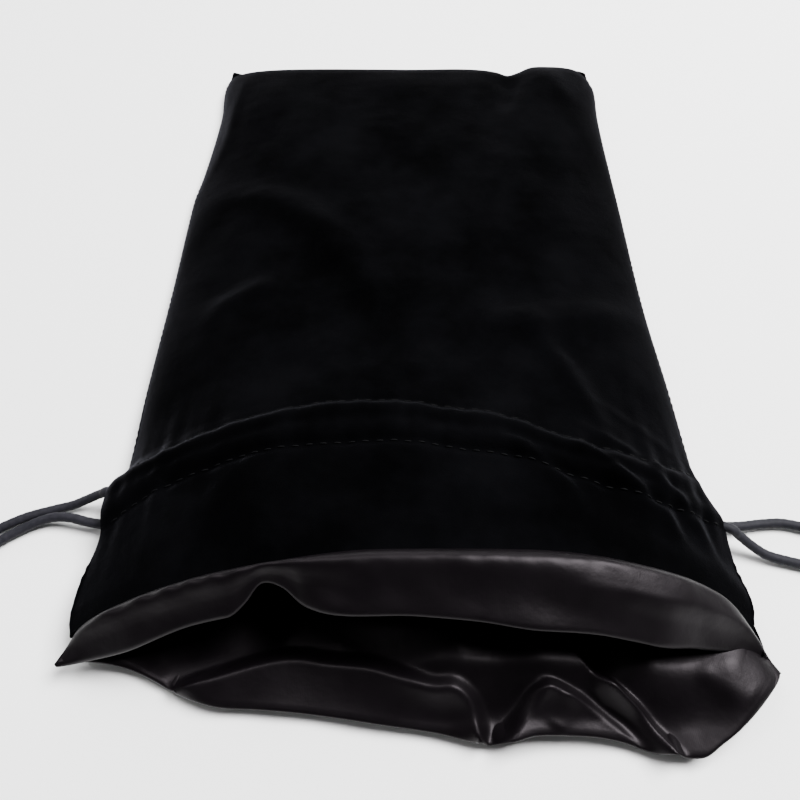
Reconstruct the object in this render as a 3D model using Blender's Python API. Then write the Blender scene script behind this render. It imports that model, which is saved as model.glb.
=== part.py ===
"""A lined velvet drawstring dice bag, lying on its back panel with its mouth open.

The bag lies flat along Y. Its mouth faces -Y, its sewn bottom is at +Y and it rests on z = 0.
Every length below is in millimetres; MM turns it into Blender's metres when a mesh is made.
"""

import bmesh
import bpy
import numpy as np
from mathutils import Vector

MM = 0.001

# Driving dimensions of the fabric, along the bag from its mouth.
LIP_Y = 2.0  # where the velvet ends at the side seams
FAR_Y = 229.0  # where the velvet ends at the bottom seam
CASING_Y = 34.0  # middle of the drawcord channel, at the side seams
CASING_HALF = 7.0  # from the channel's middle to each of its rows of stitches
VELVET = 1.2  # thickness of the velvet
SATIN = 0.8  # thickness of the lining
GAP = 0.3  # clearance between neighbouring pieces
LINING_HALF = 63.0  # half width of the lining
SEAM = 2.0  # width of a sewn edge
RIM_SIDE = 6.0  # how far the satin rim stands past the velvet at the sides
RIM_MIDDLE = 11.5  # and at the middle of the front
BACK_RIM_MIDDLE = 11.0  # and at the middle of the back
RIM_THICK = 2.0  # the rim is satin folded double
ARCH_POWER = 2.6  # how square the arch over the hollow is
BACK_BOW = 11.0  # how far the back lip bows out past the corners
LIP_BACK = 10.0  # how far the front lip is drawn back at its middle
CASING_BACK = 12.5  # how far the casing is drawn back at its middle
CASING_HANG = 0.85  # the share of that which the right half of the casing gives up

# The drawcords: two soft round cords, each a loop with its tails tied in a knot.
CORD_RADIUS = 1.2
CORD_OFFSET = 1.5  # each cord's distance from the channel's middle
TAIL_Z = CORD_RADIUS + 0.1  # height of a tail's middle where it lies on the table
BIGHT_X = 67.0  # where a loop starts to turn back beside the opposite seam
KNOT = (9.0, 10.5, 7.0)  # size of a knot

# The casing is raised over the cords, with room for them to slide.
SLACK = 0.25
CASING_RISE = 2.0 * (CORD_RADIUS + SLACK) + GAP
BACK_CORD_Z = VELVET + GAP + SLACK + CORD_RADIUS

# The object's front and back ends, which put the origin at the middle of its footprint.
FRONT_END = LIP_Y - 1.0 - BACK_BOW - GAP - BACK_RIM_MIDDLE
BACK_END = FAR_Y + GAP + SEAM
MIDDLE_Y = (FRONT_END + BACK_END) / 2.0

COLOURS = {
    "velvet": ((0.006, 0.006, 0.008, 1.0), 0.95),
    "satin": ((0.020, 0.017, 0.021, 1.0), 0.35),
    "thread": ((0.030, 0.030, 0.036, 1.0), 0.6),
    "cord": ((0.032, 0.031, 0.040, 1.0), 0.75),
}


def clear_scene():
    for found in list(bpy.data.objects):
        bpy.data.objects.remove(found)


def material(name, kind):
    colour, roughness = COLOURS[kind]
    made = bpy.data.materials.new(name)
    made.use_nodes = True
    shader = made.node_tree.nodes["Principled BSDF"]
    shader.inputs["Base Color"].default_value = colour
    shader.inputs["Roughness"].default_value = roughness
    shader.inputs["Metallic"].default_value = 0.0
    return made


def smoothstep(a, b, x):
    t = min(1.0, max(0.0, (x - a) / (b - a)))
    return t * t * (3.0 - 2.0 * t)


def along(stops, y):
    """A height or width that changes smoothly from stop to stop along the bag."""
    for (y0, a), (y1, b) in zip(stops, stops[1:]):
        if y <= y1:
            return a + (b - a) * smoothstep(y0, y1, y)
    return stops[-1][1]


def arch(u):
    """1 at the middle of the bag's width and 0 at the side seams, u = -1 and 1."""
    return 1.0 - abs(u) ** ARCH_POWER


def half_width(y):
    return along([(LIP_Y, 74.5), (CASING_Y, 71.5), (120.0, 71.2), (FAR_Y, 72.5)], y)


def crown(y):
    """Height of the hollow's ceiling along the middle of the bag."""
    rise = 3.4 + 9.6 * (1.0 - smoothstep(0.0, 1.0, (y - LIP_Y) / 110.0)) + 9.5
    closing = max(0.0, 1.0 - max(0.0, (y - 150.0) / (FAR_Y - 150.0)) ** 2.6)
    return ceiling_floor() + (rise - ceiling_floor() + 3.0) * closing


def ceiling_floor():
    """Lowest height of the front lining's underside, just above the back lining."""
    return VELVET + GAP + SATIN + GAP


def side_height(y):
    """Height of the front lining's underside at the side seams."""
    stops = [(LIP_Y, 6.0), (CASING_Y, 5.4), (90.0, ceiling_floor()), (FAR_Y, ceiling_floor())]
    return along(stops, y)


def ceiling(u, y):
    low = side_height(y)
    return low + (crown(y) - low) * arch(u)


def front_y(u, y):
    """The arched front is drawn back from the mouth, and its casing hangs on the right."""
    hang = 1.0 - CASING_HANG * smoothstep(0.05, 0.68, u)
    lip, channel = LIP_BACK * arch(u), CASING_BACK * arch(u) * hang
    drawn_back = lip + (channel - lip) * smoothstep(LIP_Y, CASING_Y - CASING_HALF, y)
    return y + drawn_back * (1.0 - smoothstep(CASING_Y + CASING_HALF, 150.0, y))


def back_lip(u):
    return LIP_Y - 1.0 - BACK_BOW * arch(u)


def back_y(u, y):
    """The flat back bows forward at the mouth and straightens out behind the casing."""
    bow = (back_lip(u) - LIP_Y) * (1.0 - smoothstep(LIP_Y, 90.0, y))
    return y + bow


def casing(y):
    """1 inside the drawcord channel and 0 outside it, with soft shoulders."""
    away = abs(y - CASING_Y)
    return 1.0 - smoothstep(CASING_HALF - 2.5, CASING_HALF, away)


def front_velvet_under(u, y):
    return ceiling(u, y) + SATIN + GAP + CASING_RISE * casing(y)


def rows_along():
    """Stations along the bag, closer together at the casing and at the bottom."""
    mouth = np.linspace(LIP_Y, CASING_Y - 9.0, 4)
    channel = np.linspace(CASING_Y - 8.0, CASING_Y + 8.0, 13)
    body = np.linspace(CASING_Y + 14.0, FAR_Y - 30.0, 10)
    end = np.linspace(FAR_Y - 24.0, FAR_Y, 6)
    return [float(y) for y in np.concatenate([mouth, channel, body, end])]


def columns(count):
    return [float(u) for u in np.linspace(-1.0, 1.0, count)]


def moved(point):
    """A point of the design, in Blender's metres and in the object's own frame."""
    return Vector((point[0] * MM, (point[1] - MIDDLE_Y) * MM, point[2] * MM))


def add_object(name, data, kind):
    made = bpy.data.objects.new(name, data)
    bpy.context.scene.collection.objects.link(made)
    made.data.materials.append(material(name, kind))
    return made


def sheet(name, kind, us, vs, under, over):
    """A closed sheet between two surfaces, under(u, v) and over(u, v)."""
    shape = bmesh.new()
    low = [[shape.verts.new(moved(under(u, v))) for v in vs] for u in us]
    high = [[shape.verts.new(moved(over(u, v))) for v in vs] for u in us]
    for i in range(len(us) - 1):
        for j in range(len(vs) - 1):
            shape.faces.new((low[i][j], low[i][j + 1], low[i + 1][j + 1], low[i + 1][j]))
            shape.faces.new((high[i][j], high[i + 1][j], high[i + 1][j + 1], high[i][j + 1]))
    edge = [(i, 0) for i in range(len(us))]
    edge += [(len(us) - 1, j) for j in range(1, len(vs))]
    edge += [(i, len(vs) - 1) for i in range(len(us) - 2, -1, -1)]
    edge += [(0, j) for j in range(len(vs) - 2, 0, -1)]
    for (i, j), (k, m) in zip(edge, edge[1:] + edge[:1]):
        shape.faces.new((low[i][j], low[k][m], high[k][m], high[i][j]))
    bmesh.ops.recalc_face_normals(shape, faces=shape.faces)
    mesh = bpy.data.meshes.new(name)
    shape.to_mesh(mesh)
    shape.free()
    mesh.shade_smooth()
    mesh.set_sharp_from_angle(angle=0.7)
    return add_object(name, mesh, kind)


def level(x, y, z):
    return (x, y, z)


def velvet_front_panel():
    def surface(lift):
        return lambda u, y: level(
            u * half_width(y), front_y(u, y), front_velvet_under(u, y) + lift
        )

    return sheet(
        "velvet_front_panel", "velvet", columns(25), rows_along(), surface(0.0), surface(VELVET)
    )


def velvet_back_panel():
    def surface(height):
        return lambda u, y: level(u * half_width(y), back_y(u, y), height)

    rows = [LIP_Y, 18.0, CASING_Y, 60.0, 90.0, 130.0, 180.0, FAR_Y]
    return sheet(
        "velvet_back_panel", "velvet", columns(17), rows, surface(0.0), surface(VELVET)
    )


def lining_front_panel():
    def surface(lift):
        def at(s, y):
            u = s * LINING_HALF / half_width(y)
            return level(s * LINING_HALF, front_y(u, y), ceiling(u, y) + lift)

        return at

    rows = [float(y) for y in np.linspace(LIP_Y, FAR_Y - 1.0, 26)]
    return sheet(
        "lining_front_panel", "satin", columns(21), rows, surface(0.0), surface(SATIN)
    )


def back_lining_under(y):
    return VELVET + GAP + CASING_RISE * casing(y)


def lining_back_panel():
    def surface(lift):
        def at(s, y):
            u = s * LINING_HALF / half_width(y)
            return level(s * LINING_HALF, back_y(u, y), back_lining_under(y) + lift)

        return at

    return sheet(
        "lining_back_panel", "satin", columns(17), rows_along()[:-1], surface(0.0), surface(SATIN)
    )


def rim_x(u, t):
    """The satin rim spreads by a seam's width towards its folded edge."""
    return u * (half_width(LIP_Y) + (GAP + SEAM) * t)


def satin_rim_front():
    def surface(lift):
        def at(u, t):
            width = RIM_SIDE + (RIM_MIDDLE - RIM_SIDE) * arch(u)
            y = front_y(u, LIP_Y) - GAP - width * t
            return level(rim_x(u, t), y, ceiling(u, LIP_Y) + GAP + lift - t * t)

        return at

    return sheet(
        "satin_rim_front", "satin", columns(25), [0.0, 0.35, 0.7, 1.0], surface(0.0), surface(RIM_THICK)
    )


def satin_rim_back():
    def surface(height):
        def at(u, t):
            width = RIM_SIDE + (BACK_RIM_MIDDLE - RIM_SIDE) * arch(u)
            return level(rim_x(u, t), back_lip(u) - GAP - width * t, height)

        return at

    return sheet(
        "satin_rim_back", "satin", columns(25), [0.0, 0.5, 1.0], surface(0.0), surface(RIM_THICK)
    )


def seam_bar(name, side, start, stop):
    """A sewn edge down one side of the bag, from start to stop along it."""
    rows = [float(y) for y in np.linspace(start, stop, max(4, int((stop - start) / 12.0)))]

    def at(across, y):
        x = half_width(y) + GAP + SEAM * (across + 1.0) / 2.0
        return side * x

    def under(across, y):
        return level(at(across, y), y, 0.0)

    def over(across, y):
        return level(at(across, y), y, side_height(y) + SATIN + GAP + VELVET)

    return sheet(name, "velvet", [-1.0, 1.0], rows, under, over)


def bottom_seam():
    height = ceiling_floor() + SATIN + GAP + VELVET

    def surface(z):
        return lambda u, y: level(u * half_width(FAR_Y), y, z)

    rows = [FAR_Y + GAP, FAR_Y + GAP + SEAM]
    return sheet("bottom_seam", "velvet", columns(9), rows, surface(0.0), surface(height))


def tube(name, kind, points, radius, closed_resolution=2):
    curve = bpy.data.curves.new(name, "CURVE")
    curve.dimensions = "3D"
    curve.bevel_depth = radius * MM
    curve.bevel_resolution = closed_resolution
    curve.render_resolution_u = 0
    curve.use_fill_caps = True
    spline = curve.splines.new("POLY")
    spline.points.add(len(points) - 1)
    for place, point in zip(spline.points, points):
        place.co = (*moved(point), 1.0)
    return add_object(name, curve, kind)


def smooth_route(stops, spacing):
    """Points at an even spacing on the smooth curve through the stops."""
    stops = [np.array(stop, dtype=float) for stop in stops]
    ends = [2 * stops[0] - stops[1], *stops, 2 * stops[-1] - stops[-2]]
    fine = []
    for a, b, c, d in zip(ends, ends[1:], ends[2:], ends[3:]):
        for t in np.linspace(0.0, 1.0, 24, endpoint=False):
            fine.append(
                0.5 * (2 * b + (c - a) * t + (2 * a - 5 * b + 4 * c - d) * t**2
                       + (3 * b - a - 3 * c + d) * t**3)
            )
    fine = np.array(fine + [stops[-1]])
    run = np.concatenate([[0.0], np.cumsum(np.linalg.norm(np.diff(fine, axis=0), axis=1))])
    marks = np.linspace(0.0, run[-1], int(run[-1] / spacing) + 1)
    return np.stack([np.interp(marks, run, fine[:, k]) for k in range(3)], axis=1)


def stitch_rows():
    """The two rows of thread that close the casing, on the front and inside the back."""
    radius = 0.35
    for label, way in (("upper", 1.0), ("lower", -1.0)):
        row = CASING_Y + way * CASING_HALF
        front, back = [], []
        for u in np.linspace(-0.94, 0.94, 31):
            x = u * half_width(row)
            top = front_velvet_under(u, row) + VELVET
            front.append((x, front_y(u, row), top + GAP + radius + 0.1))
        for s in np.linspace(-0.98, 0.98, 25):
            u = s * LINING_HALF / half_width(row)
            back.append((s * LINING_HALF, back_y(u, row), back_lining_under(row) + SATIN + GAP + radius))
        tube(f"front_casing_stitch_{label}", "thread", front, radius, 1)
        tube(f"back_casing_stitch_{label}", "thread", back, radius, 1)


def front_cord_z(u, y):
    return ceiling(u, y) + SATIN + GAP + SLACK + CORD_RADIUS


def front_run(y, start, stop):
    """A cord's way through the front of the casing, from x = start to x = stop."""
    xs = np.linspace(start, stop, 9)
    us = [float(x) / half_width(y) for x in xs]
    return [(float(x), front_y(u, y), front_cord_z(u, y)) for x, u in zip(xs, us)]


def back_run(y, start, stop):
    xs = np.linspace(start, stop, 9)
    return [(float(x), back_y(float(x) / half_width(y), y), BACK_CORD_Z) for x in xs]


def bight(side, y):
    """The loop's turn beside the opposite seam, from the front run down to the back run."""
    u = BIGHT_X / half_width(y)
    high = front_cord_z(u, y)
    top_y, low_y = front_y(u, y), back_y(u, y)
    x = side * (BIGHT_X + 2.4)
    return [
        (x - side * 0.5, (2 * top_y + low_y) / 3, BACK_CORD_Z + 0.80 * (high - BACK_CORD_Z)),
        (x, (top_y + low_y) / 2, BACK_CORD_Z + 0.5 * (high - BACK_CORD_Z)),
        (x - side * 0.5, (top_y + 2 * low_y) / 3, BACK_CORD_Z + 0.20 * (high - BACK_CORD_Z)),
    ]


# The tails' ways over the table, from the casing's open side to the knot.
LEFT_FRONT_TAIL = [
    (-74.0, 35.6, 6.8),
    (-77.6, 36.6, 5.1),
    (-81.4, 36.9, 3.2),
    (-85.5, 36.4, 1.7),
    (-90.0, 35.4, TAIL_Z),
    (-97.5, 32.8, TAIL_Z),
    (-105.5, 27.6, TAIL_Z),
    (-113.0, 19.0, TAIL_Z),
    (-119.0, 8.0, TAIL_Z),
    (-122.5, -4.0, TAIL_Z),
    (-123.8, -13.5, 2.6),
]
LEFT_BACK_TAIL = [
    (-73.4, 32.6, 2.5),
    (-76.8, 31.2, 2.6),
    (-80.4, 31.4, 2.7),
    (-84.9, 32.5, 2.7),
    (-90.0, 32.6, 2.2),
    (-96.0, 30.2, 1.5),
    (-102.6, 25.4, TAIL_Z),
    (-110.0, 17.0, TAIL_Z),
    (-115.6, 6.6, TAIL_Z),
    (-119.0, -4.5, TAIL_Z),
    (-120.9, -13.5, 2.6),
]
LEFT_KNOT = (-122.8, -19.2, KNOT[2] / 2)
RIGHT_FRONT_TAIL = [
    (74.0, 28.9, 6.8),
    (77.4, 27.0, 5.3),
    (80.6, 25.0, 3.4),
    (84.2, 23.0, 1.8),
    (89.0, 21.6, TAIL_Z),
    (96.0, 19.4, TAIL_Z),
    (104.0, 14.9, TAIL_Z),
    (111.4, 7.4, TAIL_Z),
    (117.2, -2.0, TAIL_Z),
    (120.2, -9.2, TAIL_Z),
    (121.4, -15.5, 2.6),
]
RIGHT_BACK_TAIL = [
    (72.6, 31.4, 2.6),
    (76.0, 31.2, 1.9),
    (80.6, 30.9, TAIL_Z),
    (86.0, 31.3, TAIL_Z),
    (91.6, 31.2, TAIL_Z),
    (99.0, 28.8, TAIL_Z),
    (107.5, 23.0, TAIL_Z),
    (115.0, 13.8, TAIL_Z),
    (120.6, 2.8, TAIL_Z),
    (123.4, -7.5, TAIL_Z),
    (124.4, -15.5, 2.6),
]
RIGHT_KNOT = (123.2, -21.2, KNOT[2] / 2)


def drawcord(name, side, y, front_tail, back_tail):
    """One cord: knot, front tail, casing, turn, casing, back tail and knot again."""
    inner = side * BIGHT_X
    stops = list(reversed(front_tail))
    stops += front_run(y, inner, -inner)
    stops += bight(-side, y)
    stops += back_run(y, -inner, inner)
    stops += back_tail
    return tube(name, "cord", smooth_route(stops, 5.6), CORD_RADIUS)


def knot(name, place):
    shape = bmesh.new()
    bmesh.ops.create_uvsphere(shape, u_segments=20, v_segments=12, radius=0.5)
    bmesh.ops.scale(shape, vec=Vector(KNOT) * MM, verts=shape.verts)
    bmesh.ops.translate(shape, vec=moved(place), verts=shape.verts)
    mesh = bpy.data.meshes.new(name)
    shape.to_mesh(mesh)
    shape.free()
    mesh.shade_smooth()
    return add_object(name, mesh, "cord")


def joint_empty(name, place, pieces):
    """An empty on a joint's axis, which carries the pieces that the joint moves."""
    axis = bpy.data.objects.new(name, None)
    axis.location = moved(place)
    bpy.context.scene.collection.objects.link(axis)
    bpy.context.view_layer.update()
    for piece in pieces:
        piece.parent = axis
        piece.matrix_parent_inverse = axis.matrix_world.inverted()


def build_side(label, side, cord_y, front_tail, back_tail, knot_place):
    open_from = CASING_Y - CASING_HALF
    open_to = CASING_Y + CASING_HALF
    header = seam_bar(f"{label}_header_seam", side, LIP_Y, open_from)
    body = seam_bar(f"{label}_side_seam", side, open_to, BACK_END)
    joint_empty(f"{label}_side_hinge", (side * half_width(FAR_Y), FAR_Y, 0.0), [header, body])
    cord = drawcord(f"{label}_drawcord", side, cord_y, front_tail, back_tail)
    tied = knot(f"{label}_cord_knot", knot_place)
    joint_empty(f"{label}_cord_slide", (side * BIGHT_X, cord_y, BACK_CORD_Z), [cord, tied])


def main():
    clear_scene()
    velvet_front_panel()
    velvet_back_panel()
    lining_front_panel()
    lining_back_panel()
    satin_rim_front()
    satin_rim_back()
    bottom_seam()
    stitch_rows()
    build_side("left", -1.0, CASING_Y + CORD_OFFSET, LEFT_FRONT_TAIL, LEFT_BACK_TAIL, LEFT_KNOT)
    build_side("right", 1.0, CASING_Y - CORD_OFFSET, RIGHT_FRONT_TAIL, RIGHT_BACK_TAIL, RIGHT_KNOT)


main()
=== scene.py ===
"""Drawstring dice bag: black velvet outside, satin inside, lying flat with its mouth open."""

import math

import bpy
import numpy as np
from mathutils import Euler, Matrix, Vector


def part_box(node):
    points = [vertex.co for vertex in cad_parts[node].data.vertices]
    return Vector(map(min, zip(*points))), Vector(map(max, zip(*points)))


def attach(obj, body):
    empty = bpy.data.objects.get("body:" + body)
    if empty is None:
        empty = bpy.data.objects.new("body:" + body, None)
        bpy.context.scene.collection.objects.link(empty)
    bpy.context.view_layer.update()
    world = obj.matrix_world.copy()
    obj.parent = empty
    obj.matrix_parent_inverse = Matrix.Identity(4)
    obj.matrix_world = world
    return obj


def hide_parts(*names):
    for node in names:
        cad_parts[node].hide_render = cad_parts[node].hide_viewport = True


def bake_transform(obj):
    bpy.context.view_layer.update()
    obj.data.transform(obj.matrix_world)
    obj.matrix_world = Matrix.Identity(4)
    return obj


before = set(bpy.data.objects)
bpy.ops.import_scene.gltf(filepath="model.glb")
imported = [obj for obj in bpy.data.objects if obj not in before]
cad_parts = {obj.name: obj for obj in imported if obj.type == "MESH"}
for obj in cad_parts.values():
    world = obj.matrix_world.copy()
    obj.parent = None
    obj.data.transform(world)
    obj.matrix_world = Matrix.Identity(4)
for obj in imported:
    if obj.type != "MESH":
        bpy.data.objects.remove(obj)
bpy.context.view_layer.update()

# ---------------------------------------------------------------------------------------
# Places. Lengths are in millimetres in the design's own axes, where the velvet ends at
# y = LIP_Y at the side seams, and place() turns them into metres in the CAD's frame.
# ---------------------------------------------------------------------------------------
MM = 0.001
LIP_Y = 2.0
LIP_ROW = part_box("left_header_seam")[0][1]
FAR_Y = (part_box("bottom_seam")[1][1] - LIP_ROW) / MM + LIP_Y - 0.6
GAP_FROM = (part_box("left_header_seam")[1][1] - LIP_ROW) / MM + LIP_Y
GAP_TO = (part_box("left_side_seam")[0][1] - LIP_ROW) / MM + LIP_Y
CASING_Y = (GAP_FROM + GAP_TO) / 2
CASING_HALF = (GAP_TO - GAP_FROM) / 2
VELVET = 0.9
SATIN = 0.35
LEFT = "left_side"
RIGHT = "right_side"


def place(points):
    """Design millimetres to metres in the CAD's frame, for an array of points."""
    p = np.asarray(points, float)
    return (p - np.array([0.0, LIP_Y, 0.0])) * MM + np.array([0.0, LIP_ROW, 0.0])


def smooth(a, b, x):
    t = np.clip((np.asarray(x, float) - a) / (b - a), 0.0, 1.0)
    return t * t * (3.0 - 2.0 * t)


def through(stops, x):
    """A smooth curve through (place, value) stops, read at x (monotone cubic)."""
    s = np.array(stops, float)
    xs, ys = s[:, 0], s[:, 1]
    step = np.diff(xs)
    slope = np.diff(ys) / step
    tangent = np.concatenate([[slope[0]], (slope[1:] + slope[:-1]) / 2, [slope[-1]]])
    turns = np.concatenate([[False], slope[1:] * slope[:-1] <= 0, [False]])
    tangent[turns] = 0.0
    x = np.clip(np.asarray(x, float), xs[0], xs[-1])
    i = np.clip(np.searchsorted(xs, x, side="right") - 1, 0, len(step) - 1)
    h = step[i]
    t = (x - xs[i]) / h
    return (
        ys[i] * (1 + 2 * t) * (1 - t) ** 2
        + tangent[i] * h * t * (1 - t) ** 2
        + ys[i + 1] * t * t * (3 - 2 * t)
        + tangent[i + 1] * h * t * t * (t - 1)
    )


def nearest(x, y, path):
    """Signed distance to a path in plan, positive on its left, and the share along it."""
    path = np.array(path, float)
    best = np.full(np.shape(x), 1e9)
    signed, share = np.zeros(np.shape(x)), np.zeros(np.shape(x))
    run = np.concatenate([[0.0], np.cumsum(np.linalg.norm(np.diff(path, axis=0), axis=1))])
    for a, b, start, stop in zip(path, path[1:], run, run[1:]):
        d = b - a
        t = np.clip(((x - a[0]) * d[0] + (y - a[1]) * d[1]) / (d @ d), 0.0, 1.0)
        off_x, off_y = x - a[0] - t * d[0], y - a[1] - t * d[1]
        away = np.hypot(off_x, off_y)
        near = away < best
        best = np.where(near, away, best)
        signed = np.where(near, away * np.sign(off_y * d[0] - off_x * d[1] + 1e-9), signed)
        share = np.where(near, (start + t * (stop - start)) / run[-1], share)
    return signed, share


def curved(path, pieces=6):
    """The smooth curve through a path's corners."""
    p = [np.array(stop, float) for stop in path]
    p = [2 * p[0] - p[1], *p, 2 * p[-1] - p[-2]]
    made = []
    for a, b, c, d in zip(p, p[1:], p[2:], p[3:]):
        for t in np.linspace(0.0, 1.0, pieces, endpoint=False):
            made.append(0.5 * (2 * b + (c - a) * t + (2 * a - 5 * b + 4 * c - d) * t**2
                               + (3 * b - a - 3 * c + d) * t**3))
    return np.array(made + [p[-2]])


def fold(x, y, path, height, width, ends=0.35):
    """A soft ridge, or a valley if height is negative, along a path in plan.

    Its width is one number, or one for the left of the path and one for the right.
    """
    signed, share = nearest(x, y, curved(path))
    fade = smooth(0.0, ends, share) * smooth(0.0, ends, 1.0 - share)
    wide = np.where(signed > 0, *np.broadcast_to(width, 2))
    return height * np.exp(-((signed / wide) ** 2)) * fade


def terrace(x, y, q, path, ridge_z, rim_z, drop):
    """Cloth that stands up between the rim, q = 0, and a path with the rim on its right."""
    signed, _ = nearest(x, y, curved(path))
    ahead = np.maximum(-signed, 0.0)
    t = ahead / np.maximum(ahead + q, 1e-6)
    height = rim_z + (ridge_z - rim_z) * (1.0 - t) ** 1.4
    return height * (1.0 - smooth(-0.4 * drop, drop, signed))


def soft_max(a, b, blend):
    return 0.5 * (a + b + np.sqrt((a - b) ** 2 + blend**2))


def waves(x, y, seed, count, shortest, longest, angle=None, spread=math.pi):
    """Gentle irregular waves: a sum of plane waves with seeded directions and phases."""
    r = np.random.default_rng(seed)
    total = np.zeros(np.shape(x))
    for _ in range(count):
        way = (0.0 if angle is None else angle) + (r.random() - 0.5) * spread
        length = shortest * (longest / shortest) ** r.random()
        phase = r.random() * 2 * math.pi
        total += np.sin((x * math.cos(way) + y * math.sin(way)) * 2 * math.pi / length + phase)
    return total / math.sqrt(count)


# ---------------------------------------------------------------------------------------
# Shape of the bag
# ---------------------------------------------------------------------------------------
LEFT_EDGE = [
    (2, 74.8), (7, 76.0), (14, 75.8), (26, 74.4), (33, 75.2), (39, 74.6), (45, 72.2), (67, 73.0),
    (110, 73.4), (151, 74.0), (166, 72.8), (201, 71.6), (222, 73.0), (FAR_Y, 71.4),
]
RIGHT_EDGE = [
    (2, 72.8), (9, 74.6), (18, 73.4), (25, 73.6), (29, 73.2), (33, 71.6), (38, 70.0), (66, 70.2),
    (99, 69.6), (145, 70.6), (199, 71.8), (222, 73.4), (FAR_Y, 71.6),
]
CROWN = [
    (2, 28.0), (14, 27.6), (27, 26.0), (41, 23.6), (60, 19.0), (92, 16.0), (132, 14.6),
    (180, 13.0), (205, 11.6), (218, 10.2), (225, 8.8), (229, 6.8), (FAR_Y, 4.2),
]
TOP_EDGE = [(2, 7.2), (24, 6.4), (30, 7.6), (38, 7.4), (46, 5.0), (80, 3.6), (FAR_Y, 3.0)]
LOW_EDGE = [(2, 6.0), (20, 5.2), (26, 0.6), (40, 0.6), (47, 4.0), (80, 2.8), (FAR_Y, 2.2)]
LIP_BACK = [
    (-1.0, 0.6), (-0.9, 3.2), (-0.64, 7.0), (-0.4, 8.8), (-0.1, 10.4), (0.3, 10.4), (0.64, 8.8),
    (0.85, 6.8), (0.95, 4.0), (1.0, 0.8),
]
ROW_BACK = [
    (-1.0, 0.0), (-0.85, 5.0), (-0.56, 11.2), (-0.43, 12.2), (-0.2, 13.0), (0.03, 12.9),
    (0.12, 11.6), (0.28, 9.4), (0.44, 5.6), (0.66, 1.8), (0.82, 0.2), (1.0, 0.0),
]
CREST_BACK = [
    (-1.0, 0.0), (-0.8, 3.6), (-0.6, 7.6), (-0.43, 9.8), (-0.18, 11.8), (0.0, 11.5), (0.1, 10.0),
    (0.28, 7.9), (0.5, 2.2), (0.68, -0.7), (0.8, -1.6), (0.9, -1.4), (1.0, 0.0),
]
FAR_OUTLINE = [
    (-73, -1.6), (-71.5, 0.4), (-68, 1.0), (-30, 0.8), (0, 0.2), (28, -0.2), (35, -2.2),
    (39, -4.6), (43, -2.6), (49, 1.8), (57, 3.0), (64, 3.4), (69.5, 2.0), (72, -1.0), (73, -3.0),
]
RIM_OUTLINE = [
    (-78, -2.2), (-70, -2.8), (-62, -4.0), (-56, -6.4), (-50, -9.4), (-43, -11.6), (-34, -12.2),
    (-22, -13.2), (-8, -15.2), (4, -16.8), (13, -18.8), (19, -19.0), (24, -17.8), (33, -17.6),
    (42, -18.6), (49, -20.8), (57, -21.6), (62, -19.0), (67, -15.8), (71, -12.8), (75.0, -10.4),
    (78.5, -6.6),
]
BAND_WIDTH = [
    (-1.0, 6.2), (-0.92, 7.6), (-0.8, 8.6), (-0.62, 7.6), (-0.52, 7.6), (-0.47, 5.6), (-0.42, 2.6),
    (-0.36, 4.2), (-0.3, 8.0), (-0.22, 10.5), (0.0, 11.4), (0.17, 12.5), (0.34, 14.1), (0.52, 13.6),
    (0.66, 13.7), (0.8, 11.7), (0.9, 9.6), (0.96, 8.5), (1.0, 8.4),
]


def edge_x(u, y):
    left, right = through(LEFT_EDGE, y), through(RIGHT_EDGE, y)
    return u * np.where(u < 0, left, right)


def arch(u, left, right):
    return 1.0 - np.abs(u) ** np.where(u < 0, left, right)


def far_shift(x, y):
    return through(FAR_OUTLINE, x) * smooth(200.0, FAR_Y, y)


def front_y(u, y):
    """The arched front is drawn back from the mouth, and its casing hangs on the right."""
    lip, row, crest = (through(stops, u) for stops in (LIP_BACK, ROW_BACK, CREST_BACK))
    drawn_back = lip + (row - lip) * smooth(LIP_Y, 25.0, y) + (crest - row) * smooth(27.0, 38.0, y)
    return y + drawn_back * (1.0 - smooth(43.0, 150.0, y))


def casing_bulge(y):
    """The raised channel between its two rows of stitches, with a dip at each row."""
    upper, lower = CASING_Y + CASING_HALF, CASING_Y - CASING_HALF
    ridge = 2.3 * np.exp(-(((y - CASING_Y - 3.6) / 3.0) ** 2))
    ridge += 1.2 * np.exp(-(((y - CASING_Y + 2.4) / 3.0) ** 2))
    dip = 0.9 * np.exp(-(((y - lower) / 1.4) ** 2)) + 0.5 * np.exp(-(((y - upper) / 1.4) ** 2))
    return ridge - dip


def gathers(u, x, y):
    """Puckers that run out of the casing's stitches, strongest at the right."""
    lower, upper = CASING_Y - CASING_HALF, CASING_Y + CASING_HALF
    along = x + 3.0 * np.sin(x / 11.0)
    pleats = np.sin(along * 2 * math.pi / 8.6) + 0.6 * np.sin(along * 2 * math.pi / 5.3 + 1.0)
    reach = np.exp(-np.abs(y - upper) / 9.0) * (y > upper) + np.exp(-np.abs(y - lower) / 7.0) * (
        y < lower
    )
    reach += ((y >= lower) & (y <= upper)) * (0.75 + 0.25 * np.cos((y - CASING_Y) * 0.9))
    strength = 0.16 + 0.30 * smooth(0.2, 0.85, u) + 0.14 * smooth(0.5, 0.95, -u)
    return pleats * reach * strength


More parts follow.
